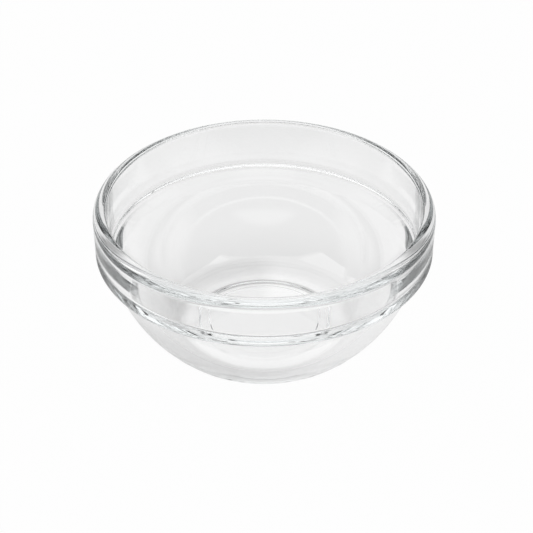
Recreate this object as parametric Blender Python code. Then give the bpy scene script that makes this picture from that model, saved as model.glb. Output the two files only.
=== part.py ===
"""A small clear pressed-glass bowl that stacks: one turned piece of glass.

Units are metres, +Z is up, and the origin is on the axis, on the plane that the foot stands on.
The whole bowl is one profile, drawn in the (radius, height) plane and turned about Z. The profile is a
chain of straight lines and circles, with a round at each corner where two of them meet.
"""

import math

import bpy

# Overall sizes
RIM_DIAMETER = 0.0600
HEIGHT = 0.0266

# Collar: the upright band under the rim
RIM_WALL = 0.0023
RIM_INSIDE_ROUND = 0.0004
RIM_OUTSIDE_ROUND = 0.0018
COLLAR_HEIGHT = 0.0096
COLLAR_DRAFT = math.radians(2.5)
COLLAR_INSIDE_DRAFT = math.radians(6.0)

# Ledge: the step under the collar. In a stack it stands on a rim, and the body clears that bowl's mouth
STACKING_CLEARANCE = 0.0001
LEDGE_EDGE_ROUND = 0.0013
LEDGE_ROOT_ROUND = 0.0006

# Body: the spherical part, from the ledge to the foot
BODY_RADIUS = 0.0295
BODY_WALL = 0.0022
FOOT_CORNER_DIAMETER = 0.0330
FOOT_CORNER_ROUND = 0.0052

# Shoulder: the slope inside the bowl, above the ledge
SHOULDER_DEPTH = 0.0078
SHOULDER_SLOPE = math.radians(58.0)
SHOULDER_HOLLOW_ROUND = 0.0020
SHOULDER_CREST_ROUND = 0.0030

# Base: the floor inside and, underneath, a flat standing ring round a shallow recess in two steps
BASE_THICKNESS = 0.0034
FLOOR_ROUND = 0.0020
STANDING_RING_WIDTH = 0.0021
RECESS_DEPTH = 0.0005
RECESS_SLOPE = math.radians(48.0)
RECESS_ROUND = 0.00012
RECESS_STEP_WIDTH = 0.0014
PANEL_DEPTH = 0.0002

# The most that a round may take of the wall or step that it is on
INSIDE_SHARE_OF_RIM = 0.18
OUTSIDE_SHARE_OF_RIM = 0.79
EDGE_SHARE_OF_LEDGE = 0.66
ROOT_SHARE_OF_LEDGE = 0.31

# Smoothness of the turned mesh
SEGMENTS = 72
ARC_STEP = math.radians(15.0)
BODY_ARC_STEP = math.radians(4.5)

# Look of the clear glass
GLASS_COLOUR = (0.93, 0.95, 0.95, 1.0)
GLASS_ROUGHNESS = 0.02
GLASS_IOR = 1.52


# A profile element is a straight line or a circle with a direction of travel. Glass is on the right of
# that direction, and air is on the left.


class Line:
    """A straight line through a point, travelling at an angle measured from +radius towards +height."""

    def __init__(self, point, angle):
        self.point = point
        self.angle = angle
        self.along = (math.cos(angle), math.sin(angle))

    def shifted_left(self, distance):
        """The parallel line at this distance to the left."""
        r, z = self.point
        along_r, along_z = self.along
        return Line((r - along_z * distance, z + along_r * distance), self.angle)

    def nearest(self, point):
        """The point of the line closest to the given one."""
        along_r, along_z = self.along
        offset = (point[0] - self.point[0]) * along_r + (point[1] - self.point[1]) * along_z
        return (self.point[0] + along_r * offset, self.point[1] + along_z * offset)


class Circle:
    """A circle travelled anticlockwise (turn 1) or clockwise (turn -1), in steps of a given angle."""

    def __init__(self, centre, radius, turn, step=BODY_ARC_STEP):
        self.centre = centre
        self.radius = radius
        self.turn = turn
        self.step = step

    def shifted_left(self, distance):
        """The concentric circle at this distance to the left."""
        return Circle(self.centre, self.radius - self.turn * distance, self.turn, self.step)

    def nearest(self, point):
        """The point of the circle closest to the given one."""
        angle = math.atan2(point[1] - self.centre[1], point[0] - self.centre[0])
        return self.at(angle)

    def at(self, angle):
        """The point of the circle at an angle."""
        r, z = self.centre
        return (r + self.radius * math.cos(angle), z + self.radius * math.sin(angle))

    def points(self, start, end):
        """Points from start to end along the circle, both ends included."""
        first = math.atan2(start[1] - self.centre[1], start[0] - self.centre[0])
        last = math.atan2(end[1] - self.centre[1], end[0] - self.centre[0])
        sweep = (last - first) * self.turn % (2 * math.pi)
        count = max(2, math.ceil(sweep / self.step))
        inner = [self.at(first + self.turn * sweep * i / count) for i in range(1, count)]
        return [start, *inner, end]


def meeting_point(a, b):
    """Where two elements meet, taking the meeting farther from the axis where there are two."""
    if isinstance(a, Circle):
        a, b = b, a
    along_r, along_z = a.along
    if isinstance(b, Line):
        gap_r, gap_z = b.point[0] - a.point[0], b.point[1] - a.point[1]
        cross = along_r * b.along[1] - along_z * b.along[0]
        travel = (gap_r * b.along[1] - gap_z * b.along[0]) / cross
        return (a.point[0] + along_r * travel, a.point[1] + along_z * travel)
    foot_r, foot_z = a.nearest(b.centre)
    reach = math.hypot(foot_r - b.centre[0], foot_z - b.centre[1])
    half_chord = math.sqrt(b.radius**2 - reach**2)
    outward = math.copysign(1.0, along_r)
    return (foot_r + outward * along_r * half_chord, foot_z + outward * along_z * half_chord)


def corner_round(before, after, radius, turn):
    """The circle of a corner's round, with the points where it leaves one element and joins the next."""
    centre = meeting_point(before.shifted_left(turn * radius), after.shifted_left(turn * radius))
    round_circle = Circle(centre, radius, turn, ARC_STEP)
    return round_circle, before.nearest(centre), after.nearest(centre)


def rounded_outline(start, elements, corners, end):
    """Points along the chain of elements from start to end, with each corner given as (radius, turn)."""
    outline = [start]
    for i, (radius, turn) in enumerate(corners):
        round_circle, leave, join = corner_round(elements[i], elements[i + 1], radius, turn)
        if isinstance(elements[i], Circle):
            outline += elements[i].points(outline[-1], leave)[1:-1]
        outline += round_circle.points(leave, join)
    outline.append(end)
    return outline


def body_centre(ledge_height, ledge_radius):
    """Centre of the body's circle, which passes through the ledge's root and the foot's corner."""
    foot_radius = FOOT_CORNER_DIAMETER / 2
    chord_r, chord_z = ledge_radius - foot_radius, ledge_height
    chord = math.hypot(chord_r, chord_z)
    back = math.sqrt(BODY_RADIUS**2 - chord**2 / 4)
    mid_r, mid_z = foot_radius + chord_r / 2, chord_z / 2
    return (mid_r - back * chord_z / chord, mid_z + back * chord_r / chord)


def bowl_profile():
    """The bowl's section, from the axis on the inside, over the rim and down to the axis underneath."""
    rim_radius = RIM_DIAMETER / 2
    rim_inside = rim_radius - RIM_WALL
    rim_inside_round = min(RIM_INSIDE_ROUND, INSIDE_SHARE_OF_RIM * RIM_WALL)
    rim_outside_round = min(RIM_OUTSIDE_ROUND, OUTSIDE_SHARE_OF_RIM * RIM_WALL)
    ledge_height = HEIGHT - COLLAR_HEIGHT
    collar_foot_radius = rim_radius - COLLAR_HEIGHT * math.tan(COLLAR_DRAFT)
    rim_edge_centre = (rim_radius - rim_outside_round, HEIGHT - rim_outside_round)
    rim_edge = Circle(rim_edge_centre, rim_outside_round, -1)
    ledge_radius = rim_inside - STACKING_CLEARANCE
    ledge_width = collar_foot_radius - ledge_radius
    centre = body_centre(ledge_height, ledge_radius)
    shoulder_height = HEIGHT - SHOULDER_DEPTH
    shoulder_radius = rim_inside - SHOULDER_DEPTH * math.tan(COLLAR_INSIDE_DRAFT)
    up, down, inward = math.pi / 2, -math.pi / 2, math.pi
    left, right = 1, -1

    floor = Line((0.0, BASE_THICKNESS), 0.0)
    inside = Circle(centre, BODY_RADIUS - BODY_WALL, 1)
    shoulder = Line((shoulder_radius, shoulder_height), SHOULDER_SLOPE)
    collar_inside = Line((rim_inside, HEIGHT), up - COLLAR_INSIDE_DRAFT)
    rim_top = Line((0.0, HEIGHT), 0.0)
    collar_outside = Line(rim_edge.at(-COLLAR_DRAFT), down - COLLAR_DRAFT)
    ledge = Line((0.0, ledge_height), inward)
    outside = Circle(centre, BODY_RADIUS, -1)
    foot = Line((0.0, 0.0), inward)
    _, _, standing_edge = corner_round(outside, foot, FOOT_CORNER_ROUND, right)
    recess_radius = standing_edge[0] - STANDING_RING_WIDTH
    recess_wall = Line((recess_radius, 0.0), inward - RECESS_SLOPE)
    recess_roof = Line((0.0, RECESS_DEPTH), inward)
    panel_radius = recess_radius - RECESS_DEPTH / math.tan(RECESS_SLOPE) - RECESS_STEP_WIDTH
    panel_wall = Line((panel_radius, RECESS_DEPTH), inward - RECESS_SLOPE)
    panel_roof_height = RECESS_DEPTH + PANEL_DEPTH
    panel_roof = Line((0.0, panel_roof_height), inward)

    elements = [
        floor, inside, shoulder, collar_inside, rim_top, collar_outside,
        ledge, outside, foot, recess_wall, recess_roof, panel_wall, panel_roof,
    ]
    corners = [
        (FLOOR_ROUND, left),
        (SHOULDER_CREST_ROUND, right),
        (SHOULDER_HOLLOW_ROUND, left),
        (rim_inside_round, right),
        (rim_outside_round, right),
        (min(LEDGE_EDGE_ROUND, EDGE_SHARE_OF_LEDGE * ledge_width), right),
        (min(LEDGE_ROOT_ROUND, ROOT_SHARE_OF_LEDGE * ledge_width), left),
        (FOOT_CORNER_ROUND, right),
        (RECESS_ROUND, right),
        (RECESS_ROUND, left),
        (RECESS_ROUND, right),
        (RECESS_ROUND, left),
    ]
    return rounded_outline((0.0, BASE_THICKNESS), elements, corners, (0.0, panel_roof_height))


def clear_glass():
    """Clear glass with a faint cool tint."""
    material = bpy.data.materials.new("clear_glass")
    material.use_nodes = True
    shader = material.node_tree.nodes["Principled BSDF"]
    shader.inputs["Base Color"].default_value = GLASS_COLOUR
    shader.inputs["Metallic"].default_value = 0.0
    shader.inputs["Roughness"].default_value = GLASS_ROUGHNESS
    shader.inputs["IOR"].default_value = GLASS_IOR
    shader.inputs["Transmission Weight"].default_value = 1.0
    return material


def turned(name, profile, material):
    """An object whose profile in the XZ plane is turned a full circle about Z."""
    mesh = bpy.data.meshes.new(name)
    points = [(r, 0.0, z) for r, z in profile]
    edges = [(i, i + 1) for i in range(len(points) - 1)]
    mesh.from_pydata(points, edges, [])
    mesh.materials.append(material)
    turned_object = bpy.data.objects.new(name, mesh)
    bpy.context.scene.collection.objects.link(turned_object)
    screw = turned_object.modifiers.new("Turn", "SCREW")
    screw.axis = "Z"
    screw.angle = 2 * math.pi
    screw.steps = SEGMENTS
    screw.render_steps = SEGMENTS
    screw.use_smooth_shade = True
    screw.use_merge_vertices = True
    screw.merge_threshold = 1e-6
    return turned_object


def main():
    for old in list(bpy.data.objects):
        bpy.data.objects.remove(old)
    turned("bowl", bowl_profile(), clear_glass())


main()
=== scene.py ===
"""Looks of a small clear pressed-glass bowl, on a plain white floor in soft studio light."""

import math

import bpy
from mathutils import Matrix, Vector


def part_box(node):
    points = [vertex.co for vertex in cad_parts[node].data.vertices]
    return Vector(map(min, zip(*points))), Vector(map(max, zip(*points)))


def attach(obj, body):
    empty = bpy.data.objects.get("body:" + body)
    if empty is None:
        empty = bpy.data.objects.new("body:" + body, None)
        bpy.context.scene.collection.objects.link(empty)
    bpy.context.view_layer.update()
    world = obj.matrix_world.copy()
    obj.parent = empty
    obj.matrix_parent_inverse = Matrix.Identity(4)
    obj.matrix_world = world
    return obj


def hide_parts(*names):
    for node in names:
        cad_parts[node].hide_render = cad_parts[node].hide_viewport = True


# Glass section, in metres. The rim's radius and the height are read from the imported bowl's box.
RIM_WALL = 0.0023
RIM_INSIDE_ROUND = 0.0004
RIM_OUTSIDE_ROUND = 0.0018
COLLAR_HEIGHT = 0.0096
COLLAR_DRAFT = math.radians(2.5)
COLLAR_INSIDE_DRAFT = math.radians(6.0)
STACKING_CLEARANCE = 0.0001
LEDGE_EDGE_ROUND = 0.0013
LEDGE_ROOT_ROUND = 0.0006
BODY_RADIUS = 0.0295
BODY_WALL = 0.0022
FOOT_CORNER_DIAMETER = 0.0330
FOOT_CORNER_ROUND = 0.0052
SHOULDER_DEPTH = 0.0078
SHOULDER_SLOPE = math.radians(58.0)
SHOULDER_HOLLOW_ROUND = 0.0020
SHOULDER_CREST_ROUND = 0.0030
BASE_THICKNESS = 0.0034
FLOOR_ROUND = 0.0020
STANDING_RING_WIDTH = 0.0021
RECESS_DEPTH = 0.0005
RECESS_SLOPE = math.radians(48.0)
RECESS_ROUND = 0.00012
RECESS_STEP_WIDTH = 0.0014
PANEL_DEPTH = 0.0002

# Fineness of the turned mesh
SEGMENTS = 256
ARC_STEP = math.radians(5.0)
BODY_ARC_STEP = math.radians(1.0)

# Plain white, for the clear glass and the light
WHITE = (1.0, 1.0, 1.0, 1.0)

# Glass: its tint where it is thick, the faint waves left by the mould and the wear of its polish
GLASS_IOR = 1.52
GLASS_TINT = (0.893, 0.924, 0.930, 1.0)
GLASS_TINT_DENSITY = 12.0
GLASS_BOUNCES = 64
NOISE_DETAIL = 1.0
WAVE_LENGTH = 0.008
WAVE_HEIGHT = 0.000008
WEAR_LENGTH = 0.004
WORN_NOISE = (0.45, 0.75)
WORN_ROUGHNESS = 0.03

# Camera: its aim, how high it looks from, how far away it is and its lens
CAMERA_AIM = Vector((0.0004, 0.0, 0.0137))
CAMERA_ELEVATION = math.radians(34.45)
CAMERA_DISTANCE = 0.500
CAMERA_LENS_MM = 190.6
CAMERA_NEAREST = 0.01
SENSOR_MM = 36.0

# Floor: its paint, and the share of white that it shows to the camera and in the glass
FLOOR_RADIUS = 0.5
FLOOR_SIDES = 128
FLOOR_DROP = 0.00005
FLOOR_COLOUR = (0.45, 0.45, 0.45, 1.0)
FLOOR_WHITE_SHARE = 0.985
FLOOR_GLASS_SHARE = 0.955

# Floor as the glass shows it, a painted pool of light: lit up to a line in front and again far off. Painted
# shade makes it darker outside the foot, farther off and on the right. Here and below, a pair is where a soft
# change starts and ends.
LIT_FLOOR_FRONT = (-0.042, -0.022)
LIT_FLOOR_FAR = (0.055, 0.075)
FOOT_EDGE = (0.0140, 0.0165)
OUTSIDE_SHADE_DEPTH = 0.09
FAR_SHADE = (0.052, 0.068)
FAR_SHADE_DEPTH = 0.12
RIGHT_SHADE = (0.045, 0.070)
RIGHT_SHADE_DEPTH = 0.35

# Painted shadow round the foot, not cast by the lamps. It is deeper at the front left, by the sum of a
# place's X and Y.
FOOT_SHADOW_EDGE = (0.036, 0.022)
FOOT_SHADOW_DEPTH = 0.08
FRONT_LEFT = (0.000, -0.024)
FRONT_LEFT_DEPTH = 0.165

# Painted shadow under the base at the back left, not cast by the lamps. WEDGE is how far back and left a
# place is, over its distance.
BACK_LEFT_WEDGE = (0.80, 1.15)
BACK_LEFT_INSIDE = (0.005, 0.010)
BACK_LEFT_OUTSIDE = (0.024, 0.019)
BACK_LEFT_DEPTH = 0.13

# Painted shadow under the rim at both sides, not cast by the lamps. FRONT and BACK are how far back a place
# is, over its distance.
RIM_SHADOW_FRONT = (0.00, 0.30)
RIM_SHADOW_BACK = (0.66, 0.48)
RIM_SHADOW_INSIDE = (0.029, 0.035)
RIM_SHADOW_OUTSIDE = (0.049, 0.045)
RIM_SHADOW_DEPTH = 0.75

# Painted shadow line under the back of the recess, not cast by the lamps. FRONT is how far back a place is,
# over its distance.
RECESS_SHADOW_FRONT = (-0.10, 0.25)
RECESS_SHADOW_INSIDE = (0.0121, 0.0124)
RECESS_SHADOW_OUTSIDE = (0.0133, 0.0130)
RECESS_SHADOW_DEPTH = 0.40

# Studio: a dark room with pale walls behind and at the sides and a pale patch in front
ROOM_DARK = 0.015
ROOM_PALE = 0.95
BACK_WALL = (0.80, 0.93)
BACK_WALL_SHARE = 0.90
SIDE_WALL = (0.80, 0.97)
SIDE_WALL_FOOT = (0.02, 0.14)
SIDE_WALL_SHARE = 0.70
FRONT_PATCH = (-0.78, -0.86)
FRONT_PATCH_FOOT = (0.33, 0.45)
FRONT_PATCH_SHARE = 0.60

# Softbox over the bowl, in two halves with a narrow gap between them
SOFTBOX_FRONT_EDGE = Vector((0.0, -0.31, 0.60))
SOFTBOX_TILT = math.radians(29.0)
SOFTBOX_LENGTH = 0.70
SOFTBOX_LEFT = -0.64
SOFTBOX_RIGHT = 0.46
SOFTBOX_GAP_AT = 0.075
SOFTBOX_GAP = 0.015
SOFTBOX_RADIANCE = 1.2


class Line:
    """A straight line of the section, through a point and travelling at an angle."""

    def __init__(self, point, angle):
        self.point = point
        self.angle = angle
        self.along = (math.cos(angle), math.sin(angle))

    def shifted_left(self, distance):
        """The parallel line at this distance to the left."""
        r, z = self.point
        along_r, along_z = self.along
        return Line((r - along_z * distance, z + along_r * distance), self.angle)

    def nearest(self, point):
        """The point of the line closest to the given one."""
        along_r, along_z = self.along
        offset = (point[0] - self.point[0]) * along_r + (point[1] - self.point[1]) * along_z
        return (self.point[0] + along_r * offset, self.point[1] + along_z * offset)


class Circle:
    """A circle of the section, travelled anticlockwise (turn 1) or clockwise (turn -1)."""

    def __init__(self, centre, radius, turn, step=BODY_ARC_STEP):
        self.centre = centre
        self.radius = radius
        self.turn = turn
        self.step = step

    def shifted_left(self, distance):
        """The concentric circle at this distance to the left."""
        return Circle(self.centre, self.radius - self.turn * distance, self.turn, self.step)

    def nearest(self, point):
        """The point of the circle closest to the given one."""
        angle = math.atan2(point[1] - self.centre[1], point[0] - self.centre[0])
        return self.at(angle)

    def at(self, angle):
        """The point of the circle at an angle."""
        r, z = self.centre
        return (r + self.radius * math.cos(angle), z + self.radius * math.sin(angle))

    def points(self, start, end):
        """Points from start to end along the circle, both ends included."""
        first = math.atan2(start[1] - self.centre[1], start[0] - self.centre[0])
        last = math.atan2(end[1] - self.centre[1], end[0] - self.centre[0])
        sweep = (last - first) * self.turn % (2 * math.pi)
        count = max(2, math.ceil(sweep / self.step))
        inner = [self.at(first + self.turn * sweep * i / count) for i in range(1, count)]
        return [start, *inner, end]


def meeting_point(a, b):
    """Where two elements meet, taking the meeting farther from the axis where there are two."""
    if isinstance(a, Circle):
        a, b = b, a
    along_r, along_z = a.along
    if isinstance(b, Line):
        gap_r, gap_z = b.point[0] - a.point[0], b.point[1] - a.point[1]
        cross = along_r * b.along[1] - along_z * b.along[0]
        travel = (gap_r * b.along[1] - gap_z * b.along[0]) / cross
        return (a.point[0] + along_r * travel, a.point[1] + along_z * travel)
    foot_r, foot_z = a.nearest(b.centre)
    reach = math.hypot(foot_r - b.centre[0], foot_z - b.centre[1])
    half_chord = math.sqrt(b.radius**2 - reach**2)
    outward = math.copysign(1.0, along_r)
    return (foot_r + outward * along_r * half_chord, foot_z + outward * along_z * half_chord)


def corner_round(before, after, radius, turn):
    """The circle of a corner's round, with the points where it leaves one element and joins the next."""
    centre = meeting_point(before.shifted_left(turn * radius), after.shifted_left(turn * radius))
    return Circle(centre, radius, turn, ARC_STEP), before.nearest(centre), after.nearest(centre)


def rounded_outline(start, elements, corners, end):
    """Points along the chain of elements from start to end, with each corner given as (radius, turn)."""
    outline = [start]
    for i, (radius, turn) in enumerate(corners):
        round_circle, leave, join = corner_round(elements[i], elements[i + 1], radius, turn)
        if isinstance(elements[i], Circle):
            outline += elements[i].points(outline[-1], leave)[1:-1]
        outline += round_circle.points(leave, join)
    outline.append(end)
    return outline


def body_centre(ledge_height, ledge_radius):
    """Centre of the body's circle, which passes through the ledge's root and the foot's corner."""
    foot_radius = FOOT_CORNER_DIAMETER / 2
    chord_r, chord_z = ledge_radius - foot_radius, ledge_height
    chord = math.hypot(chord_r, chord_z)
    back = math.sqrt(BODY_RADIUS**2 - chord**2 / 4)
    mid_r, mid_z = foot_radius + chord_r / 2, chord_z / 2
    return (mid_r - back * chord_z / chord, mid_z + back * chord_r / chord)


def bowl_section(rim_radius, height):
    """The bowl's section, from the axis on the inside, over the rim and down to the axis underneath."""
    rim_inside = rim_radius - RIM_WALL
    ledge_height = height - COLLAR_HEIGHT
    rim_edge_centre = (rim_radius - RIM_OUTSIDE_ROUND, height - RIM_OUTSIDE_ROUND)
    rim_edge = Circle(rim_edge_centre, RIM_OUTSIDE_ROUND, -1)
    centre = body_centre(ledge_height, rim_inside - STACKING_CLEARANCE)
    shoulder_radius = rim_inside - SHOULDER_DEPTH * math.tan(COLLAR_INSIDE_DRAFT)
    up, down, inward = math.pi / 2, -math.pi / 2, math.pi
    left, right = 1, -1
    outside = Circle(centre, BODY_RADIUS, -1)
    foot = Line((0.0, 0.0), inward)
    _, _, standing_edge = corner_round(outside, foot, FOOT_CORNER_ROUND, right)
    recess_radius = standing_edge[0] - STANDING_RING_WIDTH
    panel_radius = recess_radius - RECESS_DEPTH / math.tan(RECESS_SLOPE) - RECESS_STEP_WIDTH
    panel_roof_height = RECESS_DEPTH + PANEL_DEPTH
    elements = [
        Line((0.0, BASE_THICKNESS), 0.0),
        Circle(centre, BODY_RADIUS - BODY_WALL, 1),
        Line((shoulder_radius, height - SHOULDER_DEPTH), SHOULDER_SLOPE),
        Line((rim_inside, height), up - COLLAR_INSIDE_DRAFT),
        Line((0.0, height), 0.0),
        Line(rim_edge.at(-COLLAR_DRAFT), down - COLLAR_DRAFT),
        Line((0.0, ledge_height), inward),
        outside,
        foot,
        Line((recess_radius, 0.0), inward - RECESS_SLOPE),
        Line((0.0, RECESS_DEPTH), inward),
        Line((panel_radius, RECESS_DEPTH), inward - RECESS_SLOPE),
        Line((0.0, panel_roof_height), inward),
    ]
    corners = [
        (FLOOR_ROUND, left),
        (SHOULDER_CREST_ROUND, right),
        (SHOULDER_HOLLOW_ROUND, left),
        (RIM_INSIDE_ROUND, right),
        (RIM_OUTSIDE_ROUND, right),
        (LEDGE_EDGE_ROUND, right),
        (LEDGE_ROOT_ROUND, left),
        (FOOT_CORNER_ROUND, right),
        (RECESS_ROUND, right),
        (RECESS_ROUND, left),
        (RECESS_ROUND, right),
        (RECESS_ROUND, left),
    ]
    return rounded_outline((0.0, BASE_THICKNESS), elements, corners, (0.0, panel_roof_height))


def turned_mesh(name, section):
    """A closed mesh made by turning the section a full circle about Z."""
    points = [(0.0, 0.0, section[0][1])]
    faces = []
    inner = section[1:-1]
    for r, z in inner:
        for k in range(SEGMENTS):
            angle = 2 * math.pi * k / SEGMENTS
            points.append((r * math.cos(angle), r * math.sin(angle), z))
    points.append((0.0, 0.0, section[-1][1]))
    last = len(points) - 1
    for k in range(SEGMENTS):
        after = (k + 1) % SEGMENTS
        faces.append((0, 1 + k, 1 + after))
        for i in range(len(inner) - 1):
            row, next_row = 1 + i * SEGMENTS, 1 + (i + 1) * SEGMENTS
            faces.append((row + k, next_row + k, next_row + after, row + after))
        row = 1 + (len(inner) - 1) * SEGMENTS
        faces.append((row + k, last, row + after))
    mesh = bpy.data.meshes.new(name)
    mesh.from_pydata(points, [], faces)
    mesh.shade_smooth()
    return mesh


def math_node(tree, operation, first, second):
    """The result of a math node on two numbers or sockets."""
    node = tree.nodes.new("ShaderNodeMath")
    node.operation = operation
    for socket, value in zip(node.inputs, (first, second)):
        if isinstance(value, (int, float)):
            socket.default_value = value
        else:
            tree.links.new(value, socket)
    return node.outputs[0]


def combined(tree, operation, first, *others):
    """The result of the same operation over several numbers or sockets, from left to right."""
    result = first
    for other in others:
        result = math_node(tree, operation, result, other)
    return result


def smooth_range(tree, value, start, end):
    """0 before start and 1 past end, with a smooth step between."""
    node = tree.nodes.new("ShaderNodeMapRange")
    node.interpolation_type = "SMOOTHSTEP"
    node.inputs["From Min"].default_value = start
    node.inputs["From Max"].default_value = end
    tree.links.new(value, node.inputs["Value"])
    return node.outputs["Result"]


def noise(tree, length):
    """Smooth noise over the object, with features of about this length."""
    place = tree.nodes.new("ShaderNodeTexCoord")
    node = tree.nodes.new("ShaderNodeTexNoise")
    node.inputs["Scale"].default_value = 1 / length
    node.inputs["Detail"].default_value = NOISE_DETAIL
    tree.links.new(place.outputs["Object"], node.inputs["Vector"])
    return node.outputs["Fac"]


def clear_glass():
    """Clear pressed glass, faintly wavy and a little worn, with a cool tint where it is thick."""
    material = bpy.data.materials.new("clear_glass")
    material.use_nodes = True
    tree = material.node_tree
    shader = tree.nodes["Principled BSDF"]
    shader.inputs["Base Color"].default_value = WHITE
    shader.inputs["IOR"].default_value = GLASS_IOR
    shader.inputs["Transmission Weight"].default_value = 1.0
    worn = smooth_range(tree, noise(tree, WEAR_LENGTH), *WORN_NOISE)
    roughness = math_node(tree, "MULTIPLY", worn, WORN_ROUGHNESS)
    tree.links.new(roughness, shader.inputs["Roughness"])
    waves = tree.nodes.new("ShaderNodeBump")
    waves.inputs["Distance"].default_value = WAVE_HEIGHT
    tree.links.new(noise(tree, WAVE_LENGTH), waves.inputs["Height"])
    tree.links.new(waves.outputs["Normal"], shader.inputs["Normal"])
    absorption = tree.nodes.new("ShaderNodeVolumeAbsorption")
    absorption.inputs["Color"].default_value = GLASS_TINT
    absorption.inputs["Density"].default_value = GLASS_TINT_DENSITY
    tree.links.new(absorption.outputs["Volume"], tree.nodes["Material Output"].inputs["Volume"])
    return material


def make_bowl():
    """The bowl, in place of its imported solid."""
    _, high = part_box("bowl")
    mesh = turned_mesh("glass_bowl", bowl_section(high[0], high[2]))
    mesh.materials.append(clear_glass())
    bowl = bpy.data.objects.new("glass_bowl", mesh)
    bpy.context.scene.collection.objects.link(bowl)
    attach(bowl, "root")
    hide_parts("bowl")


def ring(tree, far, inside, outside):
    """1 in a ring between two soft edges, and 0 elsewhere."""
    return math_node(tree, "MULTIPLY", smooth_range(tree, far, *inside), smooth_range(tree, far, *outside))


def painted_foot_shadow(tree, x, y, far):
    """How much painted shadow darkens the floor round the foot."""
    front_left = smooth_range(tree, math_node(tree, "ADD", x, y), *FRONT_LEFT)
    more = math_node(tree, "MULTIPLY", front_left, FRONT_LEFT_DEPTH)
    depth = math_node(tree, "ADD", more, FOOT_SHADOW_DEPTH)
    return math_node(tree, "MULTIPLY", ring(tree, far, FOOT_EDGE, FOOT_SHADOW_EDGE), depth)


def painted_back_left_shadow(tree, x, y, far):
    """How much painted shadow darkens the floor under the base and beside it, at the back left."""
    direction = math_node(tree, "DIVIDE", math_node(tree, "SUBTRACT", y, x), far)
    wedge = smooth_range(tree, direction, *BACK_LEFT_WEDGE)
    place = ring(tree, far, BACK_LEFT_INSIDE, BACK_LEFT_OUTSIDE)
    return combined(tree, "MULTIPLY", wedge, place, BACK_LEFT_DEPTH)


def painted_rim_shadow(tree, y, far):
    """How much painted shadow darkens the floor under the rim, at both sides."""
    direction = math_node(tree, "DIVIDE", y, far)
    not_in_front = smooth_range(tree, direction, *RIM_SHADOW_FRONT)
    not_behind = smooth_range(tree, direction, *RIM_SHADOW_BACK)
    place = ring(tree, far, RIM_SHADOW_INSIDE, RIM_SHADOW_OUTSIDE)
    return combined(tree, "MULTIPLY", place, not_in_front, not_behind, RIM_SHADOW_DEPTH)


def painted_recess_shadow(tree, y, far):
    """How much a painted shadow line darkens the floor along the recess under the base, at the back."""
    direction = math_node(tree, "DIVIDE", y, far)
    not_in_front = smooth_range(tree, direction, *RECESS_SHADOW_FRONT)
    place = ring(tree, far, RECESS_SHADOW_INSIDE, RECESS_SHADOW_OUTSIDE)
    return combined(tree, "MULTIPLY", place, not_in_front, RECESS_SHADOW_DEPTH)


def painted_floor_shade(tree, x, far):
    """How much painted shade darkens the floor outside the foot, farther off and on the right."""
    outside = math_node(tree, "MULTIPLY", smooth_range(tree, far, *FOOT_EDGE), OUTSIDE_SHADE_DEPTH)
    farther = math_node(tree, "MULTIPLY", smooth_range(tree, far, *FAR_SHADE), FAR_SHADE_DEPTH)
    right = math_node(tree, "MULTIPLY", smooth_range(tree, x, *RIGHT_SHADE), RIGHT_SHADE_DEPTH)
    return combined(tree, "ADD", outside, farther, right)


def floor_in_glass(tree):
    """The share of white that the floor shows in the glass: a painted pool of light, less painted shade and
    painted shadows.
    """
    place = tree.nodes.new("ShaderNodeNewGeometry")
    distance = tree.nodes.new("ShaderNodeVectorMath")
    distance.operation = "LENGTH"
    tree.links.new(place.outputs["Position"], distance.inputs[0])
    far = distance.outputs["Value"]
    axes = tree.nodes.new("ShaderNodeSeparateXYZ")
    tree.links.new(place.outputs["Position"], axes.inputs["Vector"])
    x, y = axes.outputs["X"], axes.outputs["Y"]
    # Painted pool of light: the floor shows white from a line in front backwards, and again far off.
    lit_near = smooth_range(tree, y, *LIT_FLOOR_FRONT)
    lit_far = smooth_range(tree, far, *LIT_FLOOR_FAR)
    white = math_node(tree, "MULTIPLY", math_node(tree, "MAXIMUM", lit_near, lit_far), FLOOR_GLASS_SHARE)
    share = combined(
        tree,
        "SUBTRACT",
        white,
        painted_floor_shade(tree, x, far),
        painted_foot_shadow(tree, x, y, far),
        painted_back_left_shadow(tree, x, y, far),
        painted_rim_shadow(tree, y, far),
        painted_recess_shadow(tree, y, far),
    )
    return math_node(tree, "MAXIMUM", share, 0.0)


def white_floor():
    """Pale paint, white to the camera and, with a painted pool of light and painted shadows, in the glass. It
    keeps the bowl's cast shadow.
    """
    material = bpy.data.materials.new("white_floor")
    material.use_nodes = True
    tree = material.node_tree
    tree.nodes.clear()
    paint = tree.nodes.new("ShaderNodeBsdfDiffuse")
    paint.inputs["Color"].default_value = FLOOR_COLOUR
    white = tree.nodes.new("ShaderNodeEmission")
    rays = tree.nodes.new("ShaderNodeLightPath")
    glass_ray = math_node(tree, "MAXIMUM", rays.outputs["Is Glossy Ray"], rays.outputs["Is Transmission Ray"])
    in_glass = math_node(tree, "MULTIPLY", glass_ray, floor_in_glass(tree))
    direct = math_node(tree, "MULTIPLY", rays.outputs["Is Camera Ray"], FLOOR_WHITE_SHARE)
    mix = tree.nodes.new("ShaderNodeMixShader")
    tree.links.new(math_node(tree, "MAXIMUM", in_glass, direct), mix.inputs["Fac"])
    tree.links.new(paint.outputs["BSDF"], mix.inputs[1])
    tree.links.new(white.outputs["Emission"], mix.inputs[2])
    output = tree.nodes.new("ShaderNodeOutputMaterial")
    tree.links.new(mix.outputs["Shader"], output.inputs["Surface"])
    return material


def make_floor():
    """A round floor, a hair below the foot."""
    bpy.ops.mesh.primitive_circle_add(vertices=FLOOR_SIDES, radius=FLOOR_RADIUS, fill_type="NGON")
    floor = bpy.context.object
    floor.name = "floor"
    floor.location.z = -FLOOR_DROP
    floor.data.materials.append(white_floor())


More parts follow.
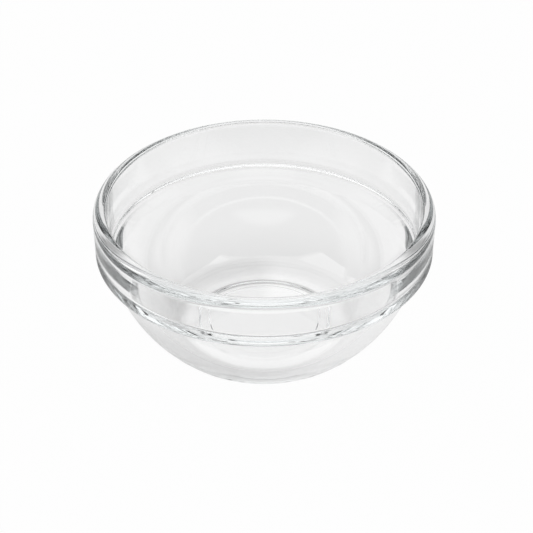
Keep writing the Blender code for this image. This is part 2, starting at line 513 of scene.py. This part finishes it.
def room_light(tree):
    """Light of the room by direction, from its dark parts to its pale walls and patch."""
    coordinates = tree.nodes.new("ShaderNodeTexCoord")
    direction = tree.nodes.new("ShaderNodeSeparateXYZ")
    tree.links.new(coordinates.outputs["Generated"], direction.inputs["Vector"])
    depth, height = direction.outputs["Y"], direction.outputs["Z"]
    sideways = math_node(tree, "ABSOLUTE", direction.outputs["X"], 0.0)
    back = math_node(tree, "MULTIPLY", smooth_range(tree, depth, *BACK_WALL), BACK_WALL_SHARE)
    side_foot = smooth_range(tree, height, *SIDE_WALL_FOOT)
    side = combined(tree, "MULTIPLY", smooth_range(tree, sideways, *SIDE_WALL), side_foot, SIDE_WALL_SHARE)
    front_foot = smooth_range(tree, height, *FRONT_PATCH_FOOT)
    front = combined(tree, "MULTIPLY", smooth_range(tree, depth, *FRONT_PATCH), front_foot, FRONT_PATCH_SHARE)
    light = tree.nodes.new("ShaderNodeMapRange")
    light.inputs["To Min"].default_value = ROOM_DARK
    light.inputs["To Max"].default_value = ROOM_PALE
    tree.links.new(combined(tree, "MAXIMUM", back, side, front), light.inputs["Value"])
    return light.outputs["Result"]


def make_studio():
    """The room that the bowl stands in, which is plain white to the camera."""
    world = bpy.data.worlds.new("studio")
    bpy.context.scene.world = world
    world.use_nodes = True
    tree = world.node_tree
    tree.nodes.clear()
    room = tree.nodes.new("ShaderNodeBackground")
    room.inputs["Color"].default_value = WHITE
    tree.links.new(room_light(tree), room.inputs["Strength"])
    white = tree.nodes.new("ShaderNodeBackground")
    white.inputs["Color"].default_value = WHITE
    rays = tree.nodes.new("ShaderNodeLightPath")
    mix = tree.nodes.new("ShaderNodeMixShader")
    tree.links.new(rays.outputs["Is Camera Ray"], mix.inputs["Fac"])
    tree.links.new(room.outputs["Background"], mix.inputs[1])
    tree.links.new(white.outputs["Background"], mix.inputs[2])
    output = tree.nodes.new("ShaderNodeOutputWorld")
    tree.links.new(mix.outputs["Shader"], output.inputs["Surface"])


def make_softbox(left, right):
    """One half of the softbox over the bowl, between two places across it."""
    lamp = bpy.data.lights.new("softbox", "AREA")
    lamp.shape = "RECTANGLE"
    lamp.size = right - left
    lamp.size_y = SOFTBOX_LENGTH
    lamp.energy = SOFTBOX_RADIANCE * math.pi * lamp.size * lamp.size_y
    backwards = Vector((0.0, math.cos(SOFTBOX_TILT), -math.sin(SOFTBOX_TILT)))
    across = Vector(((left + right) / 2, 0.0, 0.0))
    holder = bpy.data.objects.new("softbox", lamp)
    holder.location = SOFTBOX_FRONT_EDGE + backwards * SOFTBOX_LENGTH / 2 + across
    holder.rotation_euler = (-SOFTBOX_TILT, 0.0, 0.0)
    holder.visible_camera = False
    bpy.context.scene.collection.objects.link(holder)


def make_camera():
    """The camera at the photograph's viewing angle."""
    lens = bpy.data.cameras.new("camera")
    lens.sensor_width = SENSOR_MM
    lens.lens = CAMERA_LENS_MM
    lens.clip_start = CAMERA_NEAREST
    camera = bpy.data.objects.new("camera", lens)
    back = Vector((0.0, -math.cos(CAMERA_ELEVATION), math.sin(CAMERA_ELEVATION)))
    camera.location = CAMERA_AIM + back * CAMERA_DISTANCE
    camera.rotation_euler = (math.pi / 2 - CAMERA_ELEVATION, 0.0, 0.0)
    bpy.context.scene.collection.objects.link(camera)
    bpy.context.scene.camera = camera


def allow_deep_glass():
    """Let light pass through as many glass surfaces as a look through the rim needs."""
    cycles = bpy.context.scene.cycles
    cycles.max_bounces = GLASS_BOUNCES
    cycles.glossy_bounces = GLASS_BOUNCES
    cycles.transmission_bounces = GLASS_BOUNCES


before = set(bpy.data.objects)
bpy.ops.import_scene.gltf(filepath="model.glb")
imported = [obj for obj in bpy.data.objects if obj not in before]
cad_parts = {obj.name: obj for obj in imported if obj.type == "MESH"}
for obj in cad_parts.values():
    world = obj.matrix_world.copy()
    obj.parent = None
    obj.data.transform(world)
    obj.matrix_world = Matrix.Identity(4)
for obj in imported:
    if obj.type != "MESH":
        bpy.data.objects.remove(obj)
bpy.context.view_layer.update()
make_bowl()
make_floor()
make_studio()
make_softbox(SOFTBOX_LEFT, SOFTBOX_GAP_AT - SOFTBOX_GAP / 2)
make_softbox(SOFTBOX_GAP_AT + SOFTBOX_GAP / 2, SOFTBOX_RIGHT)
make_camera()
allow_deep_glass()
bpy.context.scene.view_settings.view_transform = "Standard"
